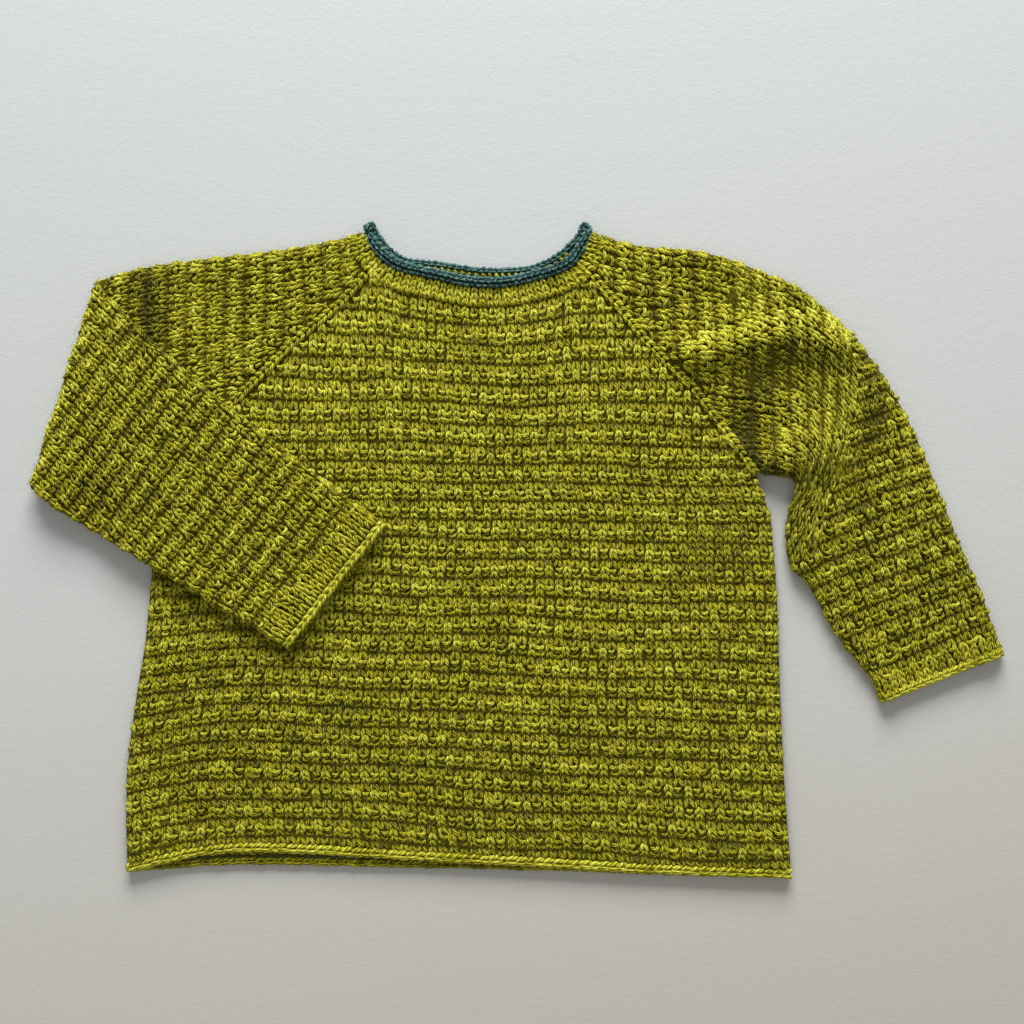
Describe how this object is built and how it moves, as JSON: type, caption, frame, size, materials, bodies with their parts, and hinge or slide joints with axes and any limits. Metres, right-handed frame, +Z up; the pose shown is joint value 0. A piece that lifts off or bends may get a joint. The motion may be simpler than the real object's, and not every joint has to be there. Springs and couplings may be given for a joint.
{
  "type": "child's knitted raglan pullover, laid flat",
  "caption": "Child's hand-knitted raglan pullover lying flat on its back, one sleeve folded over the body and the other bent down, with a rolled contrast neck edge.",
  "frame": {"origin": "under the middle of the laid-out garment's outline, on the surface that it lies on", "axes": "+X towards the viewer's right across the body, +Y from the hem towards the neck, +Z up from the surface"},
  "size_m": [0.487, 0.3285, 0.0137],
  "materials": {
    "garment_wool": "matte heathered hand-knitted wool",
    "collar_wool": "matte hand-knitted wool"
  },
  "bodies": {
    "root": {"back": "garment_wool", "front": "garment_wool", "sleeve_right": "garment_wool", "sleeve_left": "garment_wool", "cuff_right": "garment_wool", "cuff_left": "garment_wool", "collar": "collar_wool", "hem_edge": "garment_wool"}
  },
  "joints": []
}
